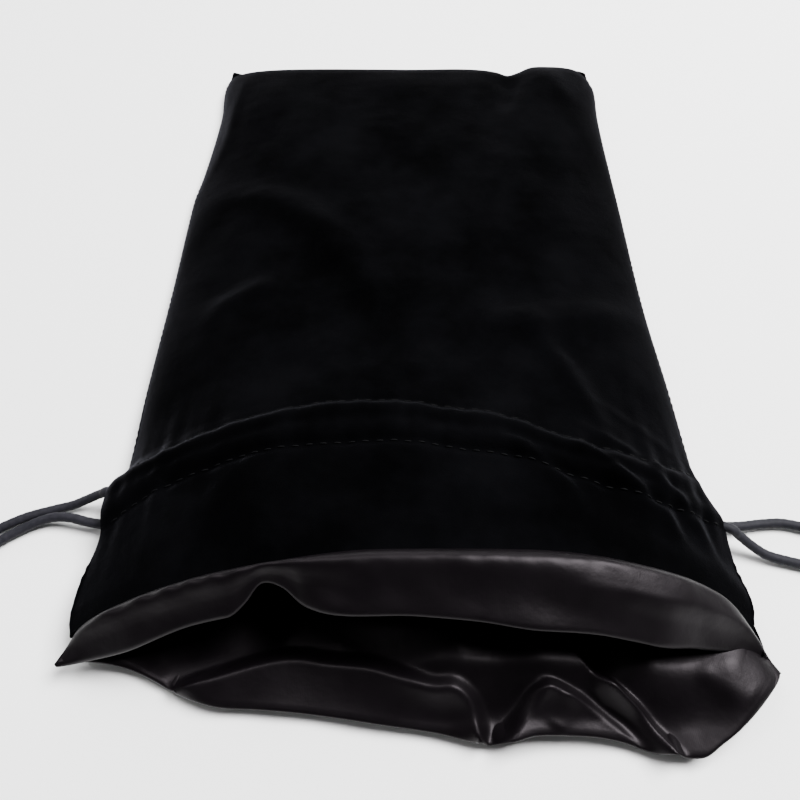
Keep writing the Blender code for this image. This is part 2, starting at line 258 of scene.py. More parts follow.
TOP_FOLDS = [
    ([(-74, 150), (-62, 146), (-48, 141), (-34, 130), (-20, 112), (-8, 92), (-2, 76)],
     3.6, (9.0, 5.0)),
    ([(-60, 130), (-40, 122), (-26, 106), (-16, 90)], -0.8, 6.0),
    ([(-62, 86), (-46, 97), (-30, 101)], 2.2, (6.0, 4.2)),
    ([(4, 82), (24, 82), (38, 84), (54, 90), (74, 99)], 3.2, (8.0, 4.6)),
    ([(20, 74), (41, 75), (60, 80)], -0.8, 5.0),
    ([(31, 86), (39, 68), (43, 54), (45, 42)], 2.2, 3.8),
    ([(-74, 152), (-69, 170), (-67, 190), (-69, 212)], 0.9, 2.4),
    ([(-63, 226), (-66, 200), (-64, 170)], 0.7, 2.6),
    ([(39, 226), (38, 208), (33, 188)], -2.0, 4.2),
    ([(50, 226), (56, 214), (58, 196)], 1.2, 6.0),
    ([(27, 170), (29, 190), (30, 214)], -0.7, 5.0),
    ([(-30, 62), (0, 66), (28, 60)], 0.6, 4.0),
    ([(16, 44), (24, 38), (32, 30), (38, 20)], 1.5, (1.8, 2.8)),
    ([(34, 42), (46, 33), (56, 23), (61, 13)], 1.8, (1.8, 2.6)),
    ([(50, 38), (60, 30), (66, 20), (69, 10)], 1.5, (1.6, 2.2)),
    ([(34, 50), (46, 44), (58, 38), (69, 34)], 0.8, 1.8),
    ([(44, 58), (56, 50), (68, 42)], 0.6, 2.0),
    ([(-30, 40), (-44, 30), (-52, 18)], 0.6, 3.0),
    ([(-70, 40), (-58, 30), (-44, 22)], 0.6, 3.0),
]


def top_z(u, y):
    """Height of the front velvet's outer face."""
    x, at_y = edge_x(u, y), front_y(u, y)
    low, high = through(TOP_EDGE, y), through(CROWN, y)
    near = smooth(LIP_Y, 70.0, y)
    end = smooth(165.0, 222.0, y)
    left, right = 2.2 + 0.9 * near + 4.0 * end, 3.2 + 0.2 * near + 4.0 * end
    round_side = arch(u, left, right) ** (1.0 - 0.28 * near)
    inside = arch(u, 8.0, 8.0)
    z = low + (high - low) * round_side
    z = z + (casing_bulge(y) + gathers(u, x, y)) * (0.35 + 0.65 * inside)
    for path, height, width in TOP_FOLDS:
        z = z + fold(x, at_y, path, height, width) * inside
    calm = inside * smooth(LIP_Y - 2, 20.0, y) * (1.0 - smooth(205.0, FAR_Y, y))
    z = z + 0.35 * waves(x, at_y, 5, 9, 22.0, 60.0) * calm
    z = z + 0.04 * waves(x, at_y, 11, 10, 6.0, 14.0) * calm
    return z


def top_point(u, y):
    x = edge_x(u, y)
    return np.stack([x, front_y(u, y) + far_shift(x, y), top_z(u, y)], axis=-1)


def low_y(x, q):
    """The flat back, q millimetres in from its bowed front rim."""
    rim = through(RIM_OUTLINE, x)
    return rim * (1.0 - smooth(0.0, 60.0, q)) + q


def rim_height(x):
    left, right = smooth(-58.0, -76.5, x), np.clip((x - 49.0) / 27.0, 0.0, 1.0)
    return 1.5 + 4.8 * left + 7.0 * right


# ---------------------------------------------------------------------------------------
# Mesh making
# ---------------------------------------------------------------------------------------
def grid_normals(p):
    along_u, along_v = np.gradient(p, axis=0), np.gradient(p, axis=1)
    n = np.cross(along_u, along_v)
    return n / np.maximum(np.linalg.norm(n, axis=2, keepdims=True), 1e-9)


def shell(name, p, n, thickness, mat, flip):
    rows, cols = p.shape[:2]
    outer, inner = p.reshape(-1, 3), (p - n * thickness).reshape(-1, 3)
    index = np.arange(rows * cols).reshape(rows, cols)
    a, b, c, d = index[:-1, :-1], index[1:, :-1], index[1:, 1:], index[:-1, 1:]
    quads = np.stack([a, b, c, d], axis=-1).reshape(-1, 4)
    if flip:
        quads = quads[:, ::-1]
    back = quads[:, ::-1] + rows * cols
    ring = np.concatenate([index[:, 0], index[-1, 1:], index[-2::-1, -1], index[0, -2:0:-1]])
    nxt = np.roll(ring, -1)
    side = np.stack([ring, ring + rows * cols, nxt + rows * cols, nxt], axis=-1)
    if flip:
        side = side[:, ::-1]
    mesh = bpy.data.meshes.new(name)
    faces = np.concatenate([quads, back, side])
    mesh.from_pydata(place(np.concatenate([outer, inner])).tolist(), [], faces.tolist())
    mesh.shade_smooth()
    normals = np.concatenate([n.reshape(-1, 3), -n.reshape(-1, 3)])
    mesh.normals_split_custom_set_from_vertices(normals.tolist())
    made = bpy.data.objects.new(name, mesh)
    bpy.context.scene.collection.objects.link(made)
    mesh.materials.append(mat)
    return made


def halves(name, p, thickness, mat, flip=False):
    """One sheet as a left and a right half, which meet along the middle of the bag."""
    n = grid_normals(p) * (-1.0 if flip else 1.0)
    middle = p.shape[0] // 2
    left = shell(f"{name}_left", p[: middle + 1], n[: middle + 1], thickness, mat, flip)
    right = shell(f"{name}_right", p[middle:], n[middle:], thickness, mat, flip)
    return left, right


def bends_with_side(piece):
    """Bakes a piece's placement into its mesh."""
    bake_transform(piece)


def bends_with_sides(left, right):
    bends_with_side(left)
    bends_with_side(right)


def smooth_route(stops, spacing):
    """Evenly spaced points on the smooth curve through the stops."""
    fine = curved(stops, 24)
    run = np.concatenate([[0.0], np.cumsum(np.linalg.norm(np.diff(fine, axis=0), axis=1))])
    marks = np.linspace(0.0, run[-1], int(run[-1] / spacing) + 1)
    return np.stack([np.interp(marks, run, fine[:, k]) for k in range(3)], axis=1)


def frames_along(route):
    """Two directions across a route at each point: one level, and one over it."""
    way = np.gradient(route, axis=0)
    way /= np.linalg.norm(way, axis=1, keepdims=True)
    up = np.array([0.0, 0.0, 1.0])
    side = np.cross(way, up)
    side /= np.maximum(np.linalg.norm(side, axis=1, keepdims=True), 1e-9)
    return side, np.cross(side, way)


def tube(name, route, radius, mat, sides=12, flat=1.0, relief=None):
    """A closed tube along a route, with an optional relief(angle, run) of its surface."""
    side, over = frames_along(route)
    run = np.concatenate([[0.0], np.cumsum(np.linalg.norm(np.diff(route, axis=0), axis=1))])
    angle = np.linspace(0.0, 2 * math.pi, sides, endpoint=False)
    a, s = np.meshgrid(angle, run, indexing="xy")
    r = radius * (1.0 + (relief(a, s) if relief else 0.0))
    rings = (
        route[:, None, :]
        + side[:, None, :] * (r * np.cos(a))[:, :, None]
        + over[:, None, :] * (r * np.sin(a) * flat)[:, :, None]
    )
    count = len(route)
    index = np.arange(count * sides).reshape(count, sides)
    nxt = np.roll(index, -1, axis=1)
    quads = np.stack([index[:-1], nxt[:-1], nxt[1:], index[1:]], axis=-1).reshape(-1, 4)
    points = np.concatenate([rings.reshape(-1, 3), route[:1], route[-1:]])
    first, last = count * sides, count * sides + 1
    caps = [[first, nxt[0][k], index[0][k]] for k in range(sides)]
    caps += [[last, index[-1][k], nxt[-1][k]] for k in range(sides)]
    mesh = bpy.data.meshes.new(name)
    mesh.from_pydata(place(points).tolist(), [], quads.tolist() + [[int(i) for i in c] for c in caps])
    mesh.shade_smooth()
    made = bpy.data.objects.new(name, mesh)
    bpy.context.scene.collection.objects.link(made)
    mesh.materials.append(mat)
    return made


# ---------------------------------------------------------------------------------------
# Materials
# ---------------------------------------------------------------------------------------
def new_material(name, colour, roughness, **sockets):
    made = bpy.data.materials.new(name)
    made.use_nodes = True
    shader = made.node_tree.nodes["Principled BSDF"]
    shader.inputs["Base Color"].default_value = (*colour, 1.0)
    shader.inputs["Roughness"].default_value = roughness
    for key, value in sockets.items():
        name = key.replace("_", " ").title().replace("Ior", "IOR")
        shader.inputs[name].default_value = value
    return made, made.node_tree, shader


def noise(tree, position, scale, detail=2.0, roughness=0.5):
    made = tree.nodes.new("ShaderNodeTexNoise")
    made.inputs["Scale"].default_value = scale
    made.inputs["Detail"].default_value = detail
    made.inputs["Roughness"].default_value = roughness
    tree.links.new(position, made.inputs["Vector"])
    return made.outputs["Fac"]


def ramp(tree, value, low, high):
    """Maps a 0 to 1 value onto two colours."""
    made = tree.nodes.new("ShaderNodeValToRGB")
    for stop, (position, colour) in zip(made.color_ramp.elements, (low, high)):
        stop.position = position
        stop.color = (*colour, 1.0)
    tree.links.new(value, made.inputs["Fac"])
    return made.outputs["Color"]


def mapped(tree, value, low, high):
    made = tree.nodes.new("ShaderNodeMapRange")
    made.inputs["To Min"].default_value = low
    made.inputs["To Max"].default_value = high
    tree.links.new(value, made.inputs["Value"])
    return made.outputs["Result"]


def bump(tree, shader, height, distance, strength, before=None):
    made = tree.nodes.new("ShaderNodeBump")
    made.inputs["Distance"].default_value = distance
    made.inputs["Strength"].default_value = strength
    tree.links.new(height, made.inputs["Height"])
    if before is not None:
        tree.links.new(before, made.inputs["Normal"])
    tree.links.new(made.outputs["Normal"], shader.inputs["Normal"])
    return made.outputs["Normal"]


def position_of(tree):
    return tree.nodes.new("ShaderNodeTexCoord").outputs["Object"]


def velvet_material():
    made, tree, shader = new_material(
        "black_velvet", (0.0006, 0.0006, 0.0008), 0.95,
        specular_ior_level=0.01, sheen_weight=0.065, sheen_roughness=0.26,
    )
    shader.inputs["Sheen Tint"].default_value = (0.80, 0.80, 0.95, 1.0)
    at = position_of(tree)
    patches = noise(tree, at, 38.0, 4.0, 0.6)
    colour = ramp(tree, patches, (0.38, (0.0002, 0.0002, 0.0003)), (0.68, (0.0011, 0.0011, 0.0014)))
    tree.links.new(colour, shader.inputs["Base Color"])
    pile = noise(tree, at, 2600.0, 2.0, 0.7)
    nap = noise(tree, at, 420.0, 3.0, 0.6)
    soft = bump(tree, shader, nap, 0.0004, 0.35)
    bump(tree, shader, pile, 0.00018, 0.6, soft)
    return made


def satin_material():
    made, tree, shader = new_material(
        "black_satin", (0.0034, 0.0027, 0.0034), 0.48, specular_ior_level=0.11,
    )
    shader.inputs["Specular Tint"].default_value = (1.0, 0.90, 0.97, 1.0)
    at = position_of(tree)
    tone = noise(tree, at, 160.0, 3.0, 0.5)
    colour = ramp(tree, tone, (0.3, (0.0014, 0.0010, 0.0014)), (0.75, (0.0025, 0.0019, 0.0025)))
    tree.links.new(colour, shader.inputs["Base Color"])
    dull = mapped(tree, noise(tree, at, 240.0, 2.0, 0.5), 0.39, 0.45)
    tree.links.new(dull, shader.inputs["Roughness"])
    weave = tree.nodes.new("ShaderNodeTexWave")
    weave.wave_type = "BANDS"
    weave.bands_direction = "X"
    weave.inputs["Scale"].default_value = 900.0
    weave.inputs["Distortion"].default_value = 1.5
    tree.links.new(at, weave.inputs["Vector"])
    creases = noise(tree, at, 300.0, 3.0, 0.55)
    soft = bump(tree, shader, creases, 0.0004, 0.25)
    bump(tree, shader, weave.outputs["Fac"], 0.00003, 0.1, soft)
    return made


def cord_material():
    made, tree, shader = new_material(
        "slate_cord", (0.008, 0.008, 0.012), 0.7, specular_ior_level=0.15,
        sheen_weight=0.03, sheen_roughness=0.4,
    )
    at = position_of(tree)
    tone = noise(tree, at, 900.0, 3.0, 0.6)
    colour = ramp(tree, tone, (0.3, (0.0045, 0.0045, 0.0070)), (0.7, (0.0105, 0.0100, 0.0140)))
    tree.links.new(colour, shader.inputs["Base Color"])
    bump(tree, shader, noise(tree, at, 3200.0, 2.0, 0.6), 0.0001, 0.5)
    return made


def thread_material():
    made, tree, shader = new_material(
        "dark_thread", (0.0010, 0.0010, 0.0013), 0.7, specular_ior_level=0.05,
    )
    at = position_of(tree)
    bump(tree, shader, noise(tree, at, 4000.0, 2.0, 0.6), 0.00006, 0.5)
    return made


velvet = velvet_material()
satin = satin_material()
cord_finish = cord_material()
thread = thread_material()


# ---------------------------------------------------------------------------------------
# Camera
# ---------------------------------------------------------------------------------------
def add_camera():
    data = bpy.data.cameras.new("camera")
    data.lens = 32.41
    data.sensor_width = 36.0
    data.clip_start = 0.01
    made = bpy.data.objects.new("camera", data)
    made.location = place([-2.9, -48.5, 162.8])
    below = math.radians(53.93)
    made.rotation_euler = Euler((math.radians(90) - below, math.radians(0.2), 0.0))
    bpy.context.scene.collection.objects.link(made)
    bpy.context.scene.camera = made


add_camera()

# ---------------------------------------------------------------------------------------
# Drawcords
# ---------------------------------------------------------------------------------------
CORD_RADIUS = 1.2
TAIL_Z = CORD_RADIUS + 0.1
CASING_END = 74.0  # where the casing opens at the bag's sides
OVERLAP = 2.0  # how far a strand's hidden piece runs past each of its ends
EXIT_INSIDE = 22.0  # how far inside the casing's open side the shown cord begins
INSIDE_ROWS = 37.9, 35.4, 33.0, 30.6  # the four strands' places inside the casing

# The tails' ways over the table, from the casing's open side to the knot.
LEFT_FRONT_TAIL = [
    (-74.0, 37.6, 6.8),
    (-77.6, 37.8, 5.1),
    (-81.4, 37.3, 3.2),
    (-85.5, 36.4, 1.7),
    (-90.0, 35.4, TAIL_Z),
    (-97.5, 32.8, TAIL_Z),
    (-105.5, 27.6, TAIL_Z),
    (-113.0, 19.0, TAIL_Z),
    (-119.0, 8.0, TAIL_Z),
    (-122.5, -4.0, TAIL_Z),
    (-123.8, -13.5, 2.2),
    (-123.4, -17.6, 3.0),
]
LEFT_BACK_TAIL = [
    (-73.4, 31.0, 2.5),
    (-76.8, 30.8, 2.6),
    (-80.4, 31.4, 2.7),
    (-84.9, 32.5, 2.7),
    (-90.0, 32.6, 2.2),
    (-96.0, 30.2, 1.5),
    (-102.6, 25.4, TAIL_Z),
    (-110.0, 17.0, TAIL_Z),
    (-115.6, 6.6, TAIL_Z),
    (-119.0, -4.5, TAIL_Z),
    (-120.9, -13.5, 2.2),
    (-121.8, -17.6, 3.0),
]
RIGHT_FRONT_TAIL = [
    (74.0, 27.8, 6.6),
    (77.4, 26.4, 4.8),
    (80.6, 24.6, 3.0),
    (84.2, 22.8, 1.7),
    (89.0, 21.4, TAIL_Z),
    (96.0, 19.4, TAIL_Z),
    (104.0, 14.9, TAIL_Z),
    (111.4, 7.4, TAIL_Z),
    (117.2, -2.0, TAIL_Z),
    (120.2, -9.2, TAIL_Z),
    (121.4, -15.5, 2.2),
    (122.4, -19.4, 3.0),
]
RIGHT_BACK_TAIL = [
    (72.6, 29.6, 3.0),
    (76.0, 29.9, 2.4),
    (80.6, 30.4, 1.7),
    (86.0, 31.2, TAIL_Z),
    (91.6, 31.2, TAIL_Z),
    (99.0, 28.8, TAIL_Z),
    (107.5, 23.0, TAIL_Z),
    (115.0, 13.8, TAIL_Z),
    (120.6, 2.8, TAIL_Z),
    (123.4, -7.5, TAIL_Z),
    (124.4, -15.5, 2.2),
    (124.0, -19.4, 3.0),
]


def braid(angle, run):
    """Crossing strands on the cord's surface."""
    strands, pitch = 4, 3.6
    one = np.sin(strands * angle + run * 2 * math.pi / pitch)
    other = np.sin(strands * angle - run * 2 * math.pi / pitch)
    return 0.045 * one * other


def cord_tail(name, side, tail, inner_y):
    """One tail, from inside the casing to its knot."""
    inside = [(side * (CASING_END - EXIT_INSIDE), inner_y, 2.7), (side * 64.0, inner_y, 2.8)]
    route = smooth_route(inside + tail, 0.3)
    made = tube(name, route, CORD_RADIUS, cord_finish, sides=20, flat=0.86, relief=braid)
    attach(made, "left_cord" if side < 0 else "right_cord")
    path = [tuple(float(v) for v in p) for p in place(route[:: 10])]
    path.append(tuple(float(v) for v in place(route[-1])))
    return made


def hidden_run(name, side, inner_y):
    """The rest of a strand inside the casing, which comes out as the bag is drawn shut."""
    stops = (CASING_END + OVERLAP - EXIT_INSIDE, 26.0, -OVERLAP)
    route = smooth_route([(side * x, inner_y, 2.7) for x in stops], 0.5)
    made = tube(name, route, CORD_RADIUS, cord_finish, sides=16, flat=0.86, relief=braid)
    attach(made, "left_cord" if side < 0 else "right_cord")


def overhand_knot(name, centre, heading, side):
    """A small overhand knot of both tails: a trefoil of cord drawn up tight."""
    t = np.linspace(0.0, 2 * math.pi, 260)
    flat_size = np.array([1.35, 1.55, 0.82])
    loop = np.stack(
        [np.sin(t) + 2 * np.sin(2 * t), np.cos(t) - 2 * np.cos(2 * t), -1.5 * np.sin(3 * t)], axis=1
    )
    turn = np.array(
        [[math.cos(heading), -math.sin(heading), 0], [math.sin(heading), math.cos(heading), 0], [0, 0, 1]]
    )
    route = (loop * flat_size) @ turn.T + np.array([centre[0], centre[1], centre[2]])
    made = tube(name, route, 1.35, cord_finish, sides=18, flat=0.95, relief=braid)
    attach(made, "left_cord" if side < 0 else "right_cord")
    return made


def loose_ends(name, centre, side):
    """The two short ends of the cord past its knot, softly frayed."""
    made = []
    for k, (drift, fall) in enumerate(((-1.6, 6.6), (1.5, 5.8))):
        x, y, z = centre
        stops = [(x + 0.3 * drift, y - 1.5, z - 0.4), (x + 0.8 * drift, y - 4.2, z - 1.4),
                 (x + 1.3 * drift, y - fall, TAIL_Z)]
        end = tube(
            f"{name}_{k}", smooth_route(stops, 0.25), CORD_RADIUS * 0.92, cord_finish,
            sides=20, flat=0.9, relief=frayed,
        )
        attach(end, "left_cord" if side < 0 else "right_cord")
        made.append(end)
    return made


def frayed(angle, run):
    """The braid opens out towards the cut end."""
    opening = smooth(3.0, 6.5, run)
    tufts = 0.14 + 0.10 * np.sin(7 * angle) + 0.05 * np.sin(11 * angle + 2.0)
    return braid(angle, run) + opening * tufts


left_knot = overhand_knot("left_knot", (-122.8, -19.2, 3.1), 0.3, -1)
right_knot = overhand_knot("right_knot", (123.2, -21.2, 3.1), 1.1, 1)
left_ends = loose_ends("left_cord_end", (-122.8, -19.2, 3.1), -1)
right_ends = loose_ends("right_cord_end", (123.2, -21.2, 3.1), 1)
cord_tail("left_front_tail", -1, LEFT_FRONT_TAIL, INSIDE_ROWS[0])
cord_tail("left_back_tail", -1, LEFT_BACK_TAIL, INSIDE_ROWS[1])
cord_tail("right_front_tail", 1, RIGHT_FRONT_TAIL, INSIDE_ROWS[2])
cord_tail("right_back_tail", 1, RIGHT_BACK_TAIL, INSIDE_ROWS[3])
hidden_run("left_front_cord_inside", -1, INSIDE_ROWS[0])
hidden_run("left_back_cord_inside", -1, INSIDE_ROWS[1])
hidden_run("right_front_cord_inside", 1, INSIDE_ROWS[2])
hidden_run("right_back_cord_inside", 1, INSIDE_ROWS[3])
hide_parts("left_drawcord")
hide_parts("right_drawcord")
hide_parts("left_cord_knot")
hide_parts("right_cord_knot")


# ---------------------------------------------------------------------------------------
# Velvet
# ---------------------------------------------------------------------------------------
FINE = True
COLUMNS = 241 if FINE else 121


def across(count=COLUMNS):
    """Places across the bag, closer together near the side seams."""
    t = np.linspace(-1.0, 1.0, count)
    return 0.75 * t + 0.25 * np.sin(t * math.pi / 2)


def velvet_top():
    u = across()
    y = np.concatenate([np.linspace(LIP_Y, 60.0, 100, endpoint=False), np.linspace(60.0, FAR_Y, 150)])
    uu, yy = np.meshgrid(u, y, indexing="ij")
    made = halves("velvet_front", top_point(uu, yy), VELVET, velvet)
    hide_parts("velvet_front_panel")
    bends_with_sides(*made)


def low_edge_rise(u, q):
    edge = through(LOW_EDGE, np.clip(q, LIP_Y, FAR_Y))
    return edge * np.abs(u) ** 14


def velvet_bottom():
    u = across()
    q = np.concatenate([np.linspace(8.0, 60.0, 60, endpoint=False), np.linspace(60.0, FAR_Y, 110)])
    uu, qq = np.meshgrid(u, q, indexing="ij")
    x = edge_x(uu, np.clip(qq, LIP_Y, FAR_Y))
    y = low_y(x, qq) + far_shift(x, qq)
    z = 0.02 + low_edge_rise(uu, qq)
    end = smooth(FAR_Y - 7.0, FAR_Y, qq)
    z = z + 2.2 * end**3
    p = np.stack([x, y, z], axis=-1)
    made = halves("velvet_back", p, VELVET, velvet, flip=True)
    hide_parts("velvet_back_panel")
    bends_with_sides(*made)


velvet_top()
velvet_bottom()


# ---------------------------------------------------------------------------------------
# Satin rim and lining
# ---------------------------------------------------------------------------------------
# The rim's section from its seam with the velvet, over the lip and back inside:
# a share of the band's width, and a rise in millimetres. It rolls further at the right.
RIM_SECTION = [
    (-0.07, -1.1), (-0.02, -0.5), (0.03, 0.2), (0.09, 0.8), (0.16, 1.05), (0.24, 0.85),
    (0.34, 0.1), (0.46, -1.1), (0.58, -2.2), (0.7, -3.05), (0.8, -3.65), (0.9, -4.2),
    (0.97, -4.65), (1.0, -5.1), (0.985, -5.4), (0.93, -5.5), (0.8, -5.3), (0.6, -4.8),
    (0.4, -4.3), (0.2, -3.8), (0.0, -3.6),
]
RIM_SECTION_RIGHT = [
    (-0.05, -1.1), (-0.02, -0.4), (0.02, 0.5), (0.06, 1.1), (0.12, 1.45), (0.22, 1.3),
    (0.34, 0.95), (0.46, 0.4), (0.56, -0.8), (0.68, -2.6), (0.8, -3.9), (0.9, -4.8),
    (0.97, -5.4), (1.0, -5.9), (0.985, -6.2), (0.93, -6.3), (0.8, -6.1), (0.6, -5.6),
    (0.4, -5.0), (0.2, -4.4), (0.0, -4.0),
]

# How far the rim stands out past the velvet at its left and right ends.
OUT_LEFT = -3.6
OUT_RIGHT = 5.4


def corner_path(side, back):
    """The satin's side seam: a point of it at each distance back from the rim's tip."""
    u = np.full_like(back, side)
    lip = top_point(np.array(side), np.array(LIP_Y))
    width = float(through(BAND_WIDTH, np.array(side)))
    share = np.clip(1.0 - back / width, 0.0, 1.0)
    behind = np.maximum(back - width, 0.0)
    row = np.clip(LIP_Y + behind, LIP_Y, FAR_Y)
    x = edge_x(u, row) * 0.985 + (OUT_LEFT if side < 0 else OUT_RIGHT) * share
    y = np.where(share > 0, lip[1] - width * share, row + 0.4)
    z = lip[2] - 1.2 - 1.1 * share
    return np.stack([x, y, z + 0.0 * back], axis=-1)



def pinched(p, u, back):
    """Draws a sheet's side edges in to the seam they share with the other sheet."""
    for side in (-1.0, 1.0):
        weight = smooth(0.86, 1.0, u * side) ** 2 * (1.0 - smooth(16.0, 30.0, back))
        p = p + (corner_path(side, back) - p) * weight[..., None]
    return p


def band_ripple(x, share, width):
    """Slack in the satin band: slubs beside the seam and longer ripples along it."""
    at_seam = np.exp(-(((share - 0.14) / 0.10) ** 2))
    slub = 0.26 * np.sin(x * 2 * math.pi / 6.1 + 1.6 * np.sin(x / 7.0)) * smooth(-20.0, -50.0, x)
    slub += 0.05 * waves(x, 30.0 * share, 3, 7, 5.0, 14.0, 0.0, 1.0)
    ripples = 0.20 * np.sin(x / 9.0 + 2.4 * share)
    ripples = ripples + 0.18 * waves(x, 24.0 * share, 7, 8, 7.0, 26.0, 0.0, 2.0)
    inside = np.sin(np.clip(share, 0.0, 1.0) * math.pi)
    return slub * at_seam + ripples * inside * smooth(3.0, 10.0, width)


def satin_top():
    u = across()
    left, right = curved(RIM_SECTION, 4), curved(RIM_SECTION_RIGHT, 4)
    to_right = smooth(0.28, 0.62, u)[:, None]
    ss = left[:, 0] + (right[:, 0] - left[:, 0]) * to_right
    rr = left[:, 1] + (right[:, 1] - left[:, 1]) * to_right
    uu = np.broadcast_to(u[:, None], ss.shape)
    turned = np.arange(len(left)) > np.argmax(left[:, 0])
    lip = top_point(u, np.full_like(u, LIP_Y))
    width = through(BAND_WIDTH, uu)
    outwards = smooth(0.80, 1.0, np.abs(uu)) * np.where(uu < 0, OUT_LEFT, OUT_RIGHT)
    x = lip[:, None, 0] + outwards * np.clip(ss, 0.0, 1.0)
    squeeze = 0.5 + 0.5 * smooth(2.5, 7.5, width)
    y = lip[:, None, 1] - width * ss
    ripple = band_ripple(x, ss, width) * ~turned
    z = lip[:, None, 2] + rr * squeeze + ripple
    rim = pinched(np.stack([x, y, z], axis=-1), uu, width * (1.0 - np.clip(ss, 0.0, 1.0)))
    depth = np.concatenate([np.linspace(3.0, 60.0, 50), np.linspace(64.0, FAR_Y - 7.0, 60)])
    vv, dd = np.meshgrid(u, depth, indexing="ij")
    inner = top_point(vv * 0.965, dd)
    thick = 3.6 - 1.7 * smooth(LIP_Y, 16.0, dd) + np.clip(casing_bulge(dd), 0.0, 3.0) + 0.25
    low = through(LOW_EDGE, dd) * np.abs(vv) ** 8 + 2.0
    inner[..., 2] = np.maximum(inner[..., 2] - thick, low)
    tip = float(through(BAND_WIDTH, np.array(1.0)))
    inner = pinched(inner, vv, dd - LIP_Y + tip)
    p = np.concatenate([rim, inner], axis=1)
    made = halves("satin_front", p, SATIN, satin)
    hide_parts("lining_front_panel", "satin_rim_front")
    bends_with_sides(*made)


LEFT_SWELL = [
    (-60, -14), (-54, -10), (-48, -7.6), (-42, -5.8), (-34, -3.2), (-26, -2.0), (-18, -3.0),
    (-10, -4.4), (-3, -7.0), (3, -8.8), (8, -9.2), (11.5, -12), (12.5, -18), (12.0, -28),
]
RIGHT_LOBE = [
    (12, -20), (14.5, -15), (18, -11.4), (22, -9.4), (26.5, -8.6), (31, -9.8), (36, -12.2),
    (40.5, -15.2), (44.2, -18.6), (47.5, -22.5), (50, -29),
]
RIGHT_CREST = [
    (30, 14), (33, 2), (36.5, -5), (41.9, -10), (45.6, -13.4), (49, -17.6), (52.4, -22.5), (55, -28),
]
LOW_FOLDS = [
    (RIGHT_CREST[2:], 3.4, (1.5, 2.8)),
    ([(58, -5.0), (64, -9.6), (69.5, -14.0)], 0.4, 1.8),
    ([(-72, -0.5), (-62, -3.0), (-52, -9)], 1.0, (3.0, 4.5)),
    ([(-34, 6), (-20, 8), (0, 4), (14, 2)], 1.2, 4.0),
    ([(28, -17), (31, -12), (31, -9)], 0.5, 2.4),
]


WALL_HEIGHT = 7.5  # how far the cloth behind the crest stands up towards the mouth
BOWL_HEIGHT = 6.0  # and the same for the far side of the hollow at the right


def low_relief(x, y, q):
    """How far the back's satin stands off the flat bag, near its rim."""
    left = terrace(x, y, q, LEFT_SWELL, 4.6, 2.0, 3.6) * smooth(-62.0, -46.0, x)
    lobe_from = 12.0 + 0.8 * np.clip(y + 20.0, 0.0, 12.0)
    right = terrace(x, y, q, RIGHT_LOBE, 6.2, 4.6, 2.6) * smooth(0.0, 7.0, x - lobe_from)
    right = right * (1.0 - 0.028 * np.clip(x - 20.0, 0.0, 25.0))
    total = soft_max(left, right, 0.6)
    for path, height, width in LOW_FOLDS:
        total = total + fold(x, y, path, height, width, ends=0.2)
    beyond, _ = nearest(x, y, curved(RIGHT_CREST))
    wall = smooth(-15.0, -3.0, y) * smooth(-20.0, 10.0, x) * (1.0 - smooth(-0.8, 2.8, beyond))
    bowl = smooth(-17.0, -4.0, y) * smooth(36.0, 50.0, x) * (1.0 - smooth(64.0, 80.0, x))
    return total + WALL_HEIGHT * wall + BOWL_HEIGHT * bowl + 0.2 * waves(x, y, 23, 8, 9.0, 26.0)


def satin_bottom():
    u = across()
    under = [(7.6, 0.3), (6.4, 0.27), (5.0, 0.26), (3.6, 0.26), (2.2, 0.27), (1.0, 0.32)]
    over = [(0.25, 0.5), (0.0, 0.8), (0.2, 1.12), (0.7, 1.32)]
    reach = np.concatenate([np.linspace(1.3, 40.0, 110), np.linspace(42.0, FAR_Y - 7.0, 70)])
    inwards = [(q, 1.42) for q in reach]
    section = np.array(under + over + inwards)
    uu, qq = np.meshgrid(u, section[:, 0], indexing="ij")
    zz = np.broadcast_to(section[:, 1], uu.shape)
    top = np.arange(len(section)) >= len(under) + 1
    x = edge_x(uu * (0.99 - 0.03 * smooth(LIP_Y, 12.0, qq)), np.clip(qq, LIP_Y, FAR_Y))
    flare = 3.4 * np.sign(uu) * smooth(0.86, 1.0, np.abs(uu)) * (1.0 - smooth(0.0, 9.0, qq))
    x = x + flare
    y = low_y(x, qq) + far_shift(x, qq)
    settled = np.where(x > 0, smooth(0.5, 19.0, qq), smooth(10.0, 60.0, qq))
    side_lift = (rim_height(x) - 1.5) * (1.0 - settled)
    relief = low_relief(x, y, np.maximum(qq, 0.0)) * (1.0 - smooth(24.0, 50.0, qq))
    at_rim = low_relief(x, low_y(x, np.zeros_like(x)), np.zeros_like(x))
    relief = np.where(top, relief, at_rim * (1.0 - smooth(0.0, 7.0, qq)))
    casing_lift = 3.1 * np.exp(-(((y - CASING_Y - 1.0) / 7.0) ** 4)) * top
    lowest = np.where(top, zz - 0.1, 0.2)
    z = soft_max(zz + side_lift + relief + casing_lift, lowest, 0.3)
    p = pinched(np.stack([x, y, z], axis=-1), uu, np.maximum(qq, 0.0))
    made = halves("satin_back", p, SATIN, satin)
    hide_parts("lining_back_panel", "satin_rim_back")
    bends_with_sides(*made)


satin_top()
satin_bottom()


# ---------------------------------------------------------------------------------------
# Seams and stitches
# ---------------------------------------------------------------------------------------
def seam_route(side, start, stop):
    y = np.linspace(start, stop, max(8, int((stop - start) / 1.2)))
    u = np.full_like(y, side * 1.0)
    x = edge_x(u, y) * 0.992
    z = (through(TOP_EDGE, y) + through(LOW_EDGE, y)) / 2
    return np.stack([x, y + far_shift(x, y), z], axis=1)


def puckered(angle, run):
    """Small puckers that the stitching draws in a seam's edge."""
    return 0.10 * np.sin(run * 2 * math.pi / 2.6) + 0.05 * np.sin(run * 2.9)


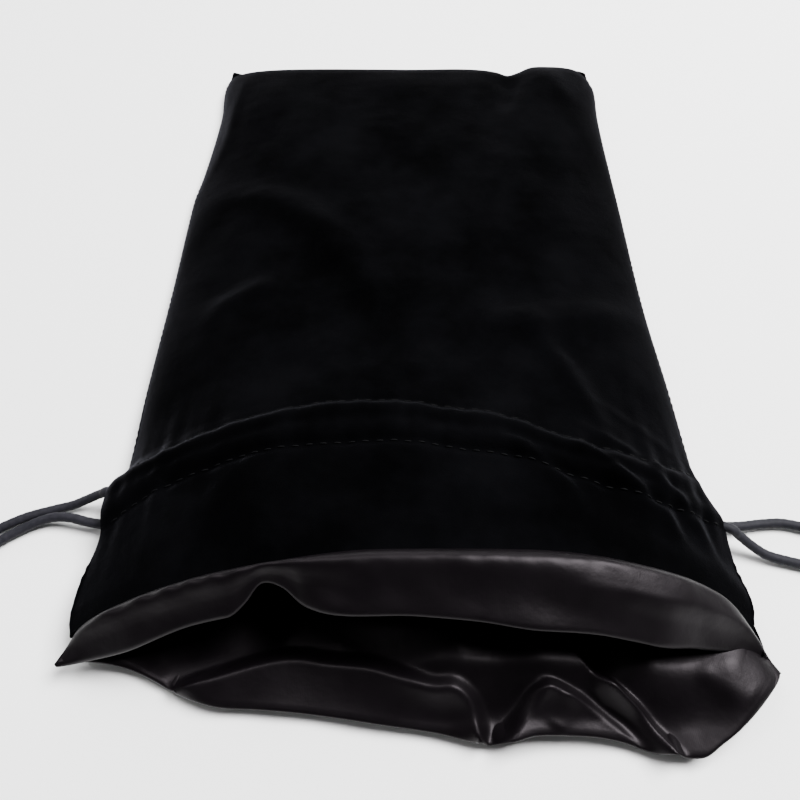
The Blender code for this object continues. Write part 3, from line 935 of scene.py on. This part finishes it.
def side_seams():
    for label, side, body in (("left", -1.0, LEFT), ("right", 1.0, RIGHT)):
        for part, start, stop in (("header", LIP_Y, GAP_FROM - 1.4), ("side", GAP_TO, FAR_Y)):
            route = seam_route(side, start, stop)
            made = tube(f"{label}_{part}_seam_edge", route, 0.85, velvet, sides=14, relief=puckered)
            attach(made, body)
            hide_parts(f"{label}_{part}_seam")


def bottom_seam():
    for label, a, b in (("left", -1.0, 0.0), ("right", 0.0, 1.0)):
        u = np.linspace(a, b, 70)
        x = edge_x(u, np.full_like(u, FAR_Y))
        z = np.full_like(u, (TOP_EDGE[-1][1] + LOW_EDGE[-1][1]) / 2)
        route = np.stack([x, FAR_Y + far_shift(x, np.full_like(u, FAR_Y)), z], axis=1)
        made = tube(f"bottom_seam_{label}", route, 0.9, velvet, sides=14)
        bends_with_side(made)
        if label == "left":
            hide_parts("bottom_seam")


def stitch_run(name, row, us, height, mat, lift, length=1.7, pitch=3.2):
    """Separate short stitches along a row, joined as one piece of thread."""
    points = [height(u, row) for u in us]
    route = smooth_route(points, 0.4)
    run = np.concatenate([[0.0], np.cumsum(np.linalg.norm(np.diff(route, axis=0), axis=1))])
    side, over = frames_along(route)
    sides, rings = 8, 7
    verts, faces = [], []
    count = round(run[-1] / pitch)
    for start in (np.arange(count) + 0.5) * run[-1] / count - length / 2:
        marks = np.linspace(start, start + length, rings)
        centre = np.stack([np.interp(marks, run, route[:, k]) for k in range(3)], axis=1)
        across_way = np.stack([np.interp(marks, run, side[:, k]) for k in range(3)], axis=1)
        up_way = np.stack([np.interp(marks, run, over[:, k]) for k in range(3)], axis=1)
        bulge = np.sin(np.linspace(0.0, math.pi, rings))
        first = len(verts)
        for c, sx, oy, b in zip(centre, across_way, up_way, bulge):
            radius = 0.12 + 0.10 * b
            for k in range(sides):
                a = 2 * math.pi * k / sides
                verts.append(c + sx * radius * math.cos(a) + oy * (radius * math.sin(a) + lift * b))
        for i in range(rings - 1):
            for k in range(sides):
                m = (k + 1) % sides
                faces.append([first + i * sides + k, first + i * sides + m,
                              first + (i + 1) * sides + m, first + (i + 1) * sides + k])
        faces.append([first + k for k in range(sides)][::-1])
        faces.append([first + (rings - 1) * sides + k for k in range(sides)])
    mesh = bpy.data.meshes.new(name)
    mesh.from_pydata(place(verts).tolist(), [], faces)
    mesh.shade_smooth()
    made = bpy.data.objects.new(name, mesh)
    bpy.context.scene.collection.objects.link(made)
    mesh.materials.append(mat)
    bends_with_side(made)
    return made


def on_front(u, row):
    return top_point(np.array(u), np.array(row)) + np.array([0.0, 0.0, 0.05])


def on_back(u, row):
    x = float(edge_x(np.array(u), np.array(row)))
    return np.array([x, float(low_y(np.array(x), np.array(row))), 2.3])


def casing_stitches():
    rows = {"upper": CASING_Y + CASING_HALF, "lower": CASING_Y - CASING_HALF}
    for label, row in rows.items():
        lift = 0.1 if label == "lower" else -0.08
        for where, height in (("front", on_front), ("back", on_back)):
            for half, a, b, body in (("left", -0.97, 0.0, LEFT), ("right", 0.0, 0.97, RIGHT)):
                us = np.linspace(a, b, 40)
                name = f"{where}_{label}_stitches_{half}"
                made = stitch_run(name, row, us, height, thread, lift)
                if half == "left":
                    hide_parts(f"{where}_casing_stitch_{label}")


side_seams()
bottom_seam()
casing_stitches()


# ---------------------------------------------------------------------------------------
# Floor and light
# ---------------------------------------------------------------------------------------
def add_floor():
    mesh = bpy.data.meshes.new("floor")
    size = 6.0
    z = -0.0002  # just under the bag, so the two never share a plane
    corners = [(-size, -size, z), (size, -size, z), (size, size, z), (-size, size, z)]
    mesh.from_pydata(corners, [], [(0, 1, 2, 3)])
    made = bpy.data.objects.new("floor", mesh)
    bpy.context.scene.collection.objects.link(made)
    mat, _, _ = new_material("pale_floor", (0.95, 0.95, 0.95), 0.9, specular_ior_level=0.1)
    mesh.materials.append(mat)


def area_light(name, location, target, size, power, colour=(1.0, 1.0, 1.0)):
    data = bpy.data.lights.new(name, "AREA")
    data.shape = "RECTANGLE"
    data.size, data.size_y = size
    data.energy = power
    data.color = colour
    made = bpy.data.objects.new(name, data)
    made.location = location
    way = Vector(target) - Vector(location)
    made.rotation_euler = way.to_track_quat("-Z", "Y").to_euler()
    bpy.context.scene.collection.objects.link(made)


def add_light():
    world = bpy.data.worlds.new("studio")
    world.use_nodes = True
    background = world.node_tree.nodes["Background"]
    background.inputs["Color"].default_value = (1.0, 1.0, 1.0, 1.0)
    background.inputs["Strength"].default_value = 0.10
    bpy.context.scene.world = world
    area_light("key", (0.60, 0.26, 1.0), (0.0, 0.0, 0.0), (0.7, 0.7), 62.0)
    area_light("left", (-0.45, 0.28, 1.05), (0.0, 0.0, 0.0), (0.4, 0.5), 8.0)
    area_light("back", (-0.2, 1.1, 0.6), (0.0, 0.05, 0.0), (1.2, 0.5), 9.0)
    area_light("side", (-0.9, 0.0, 0.6), (0.0, 0.0, 0.0), (0.6, 0.6), 1.5)


add_floor()
add_light()
